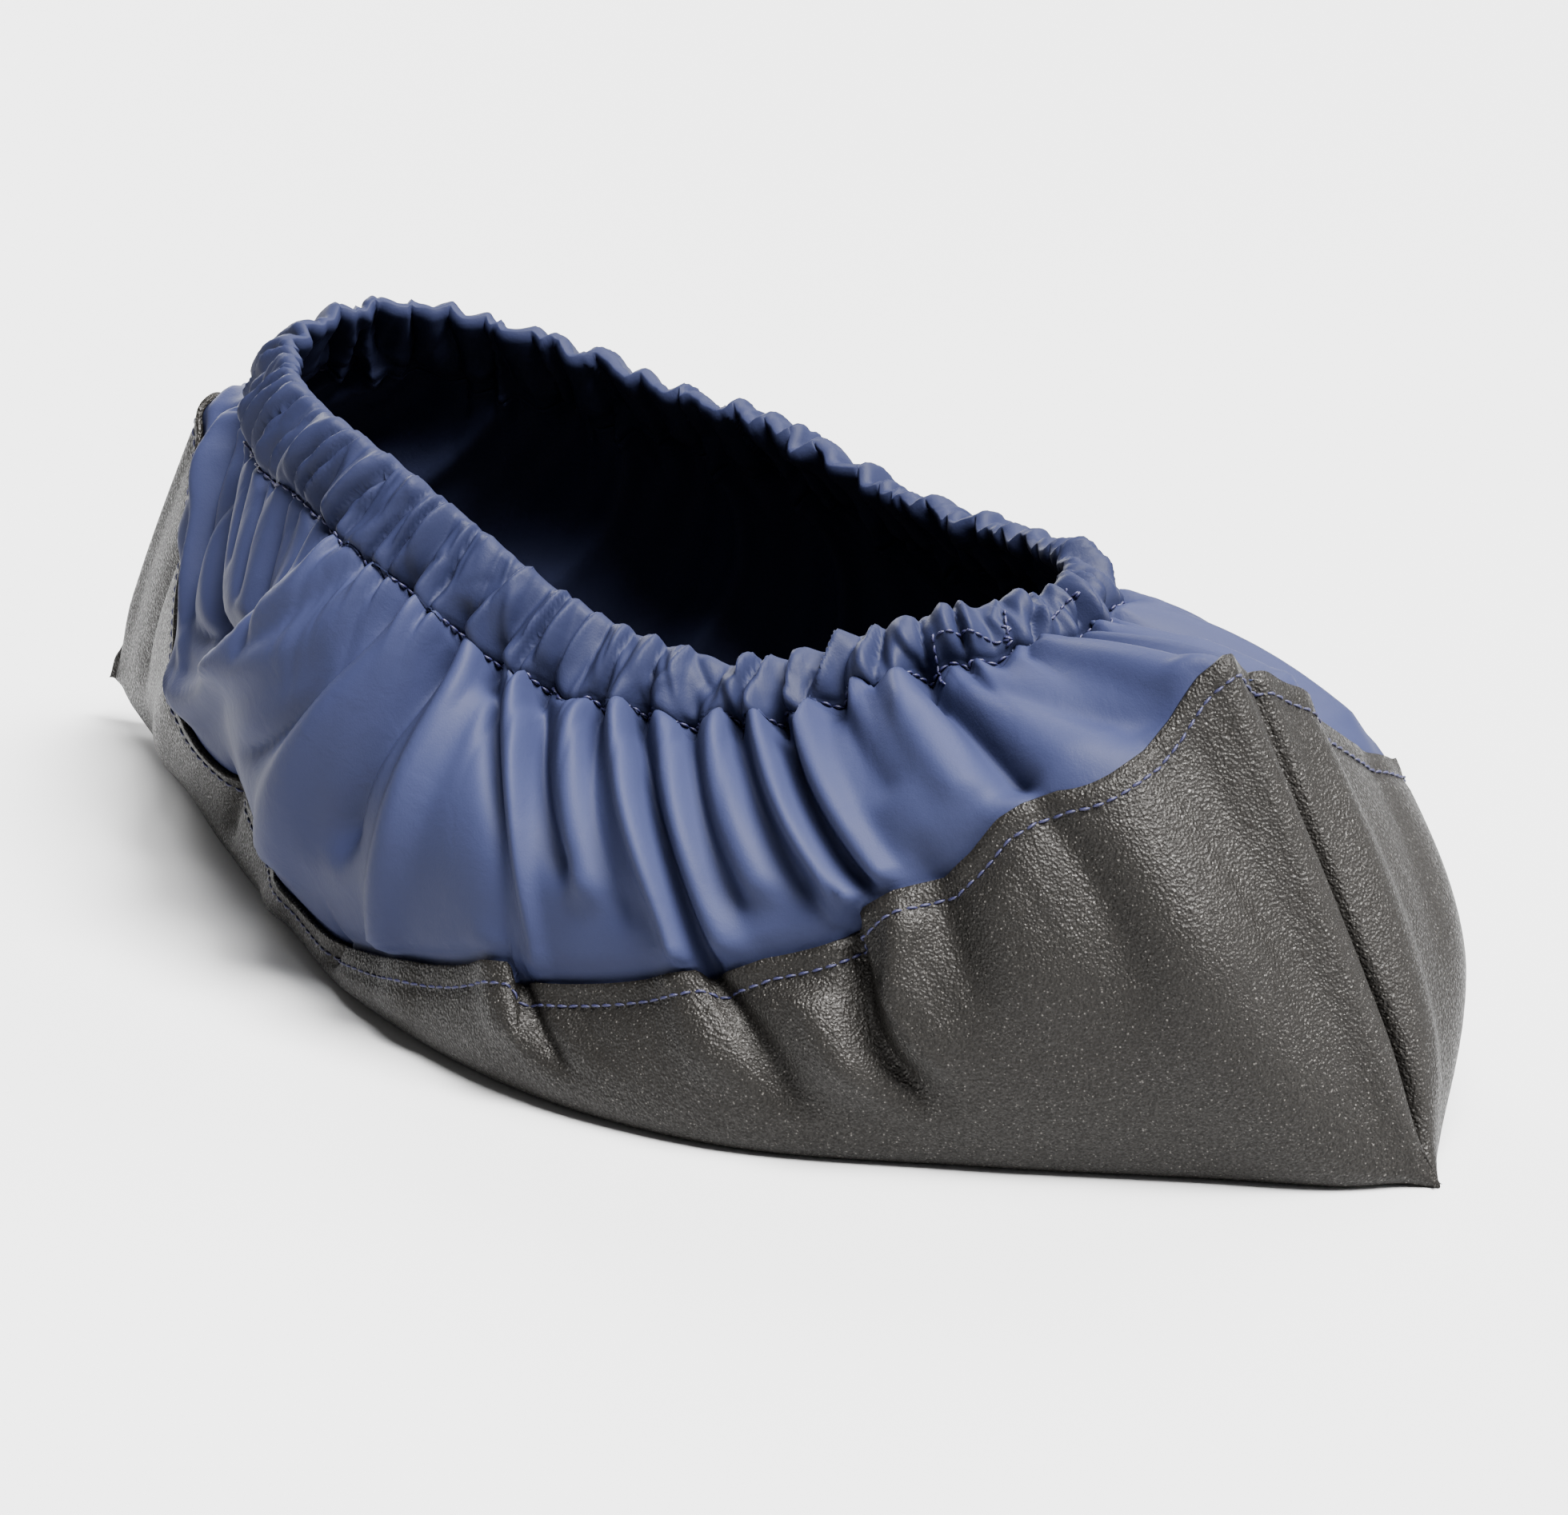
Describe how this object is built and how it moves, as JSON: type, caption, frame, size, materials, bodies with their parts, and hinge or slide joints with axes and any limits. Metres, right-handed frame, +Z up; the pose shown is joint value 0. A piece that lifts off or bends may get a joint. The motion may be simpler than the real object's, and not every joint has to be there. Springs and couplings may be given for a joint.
{
  "type": "overshoe",
  "caption": "Reusable cloth overshoe with a rubberised tray sole folded up like a boat, a soft gathered upper and an elastic collar, standing empty.",
  "frame": {"origin": "middle of the overshoe's box, on the floor it stands on", "axes": "+X from heel to toe, +Z up, +Y to the wearer's left as the toe points away"},
  "size_m": [0.364, 0.1546, 0.1088],
  "materials": {
    "tray_cloth": "pebble grain, satin, with fine sparkle",
    "upper_cloth": "coated cloth, soft sheen",
    "casing_cloth": "coated cloth, gathered, soft sheen",
    "thread": "sewing thread"
  },
  "bodies": {
    "root": {"sole": "tray_cloth", "upper": "upper_cloth", "collar_casing": "casing_cloth"}
  },
  "joints": []
}
